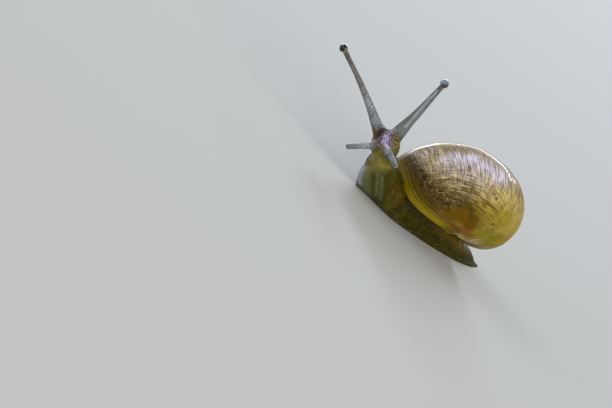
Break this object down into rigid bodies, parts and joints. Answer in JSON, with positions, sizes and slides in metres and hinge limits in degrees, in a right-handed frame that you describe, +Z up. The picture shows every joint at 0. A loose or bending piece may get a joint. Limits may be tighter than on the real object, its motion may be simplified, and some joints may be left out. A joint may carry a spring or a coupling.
{
  "type": "garden snail model",
  "caption": "Life-size still model of a young garden snail crawling with its shell low, neck raised and head turned to its left, feelers spread.",
  "frame": {"origin": "on the floor, under the middle of the flat sole", "axes": "-X the way the foot points, +Z up, so the animal's left is -Y; the sole lies on z = 0"},
  "size_m": [0.037, 0.0147, 0.0184],
  "materials": {
    "shell": "thin horn-coloured shell with a soft shine",
    "mantle": "wet skin",
    "skin": "wet, finely granular skin",
    "skin_pale": "wet, pale skin",
    "eye": "wet black"
  },
  "bodies": {
    "root": {"shell": "shell", "mantle_collar": "mantle", "foot": "skin", "tail": "skin", "neck": "skin", "head": "skin", "tentacle_upper_left": "skin_pale", "tentacle_upper_right": "skin_pale", "tentacle_lower_left": "skin_pale", "tentacle_lower_right": "skin_pale", "eye_left": "eye", "eye_right": "eye"}
  },
  "joints": []
}
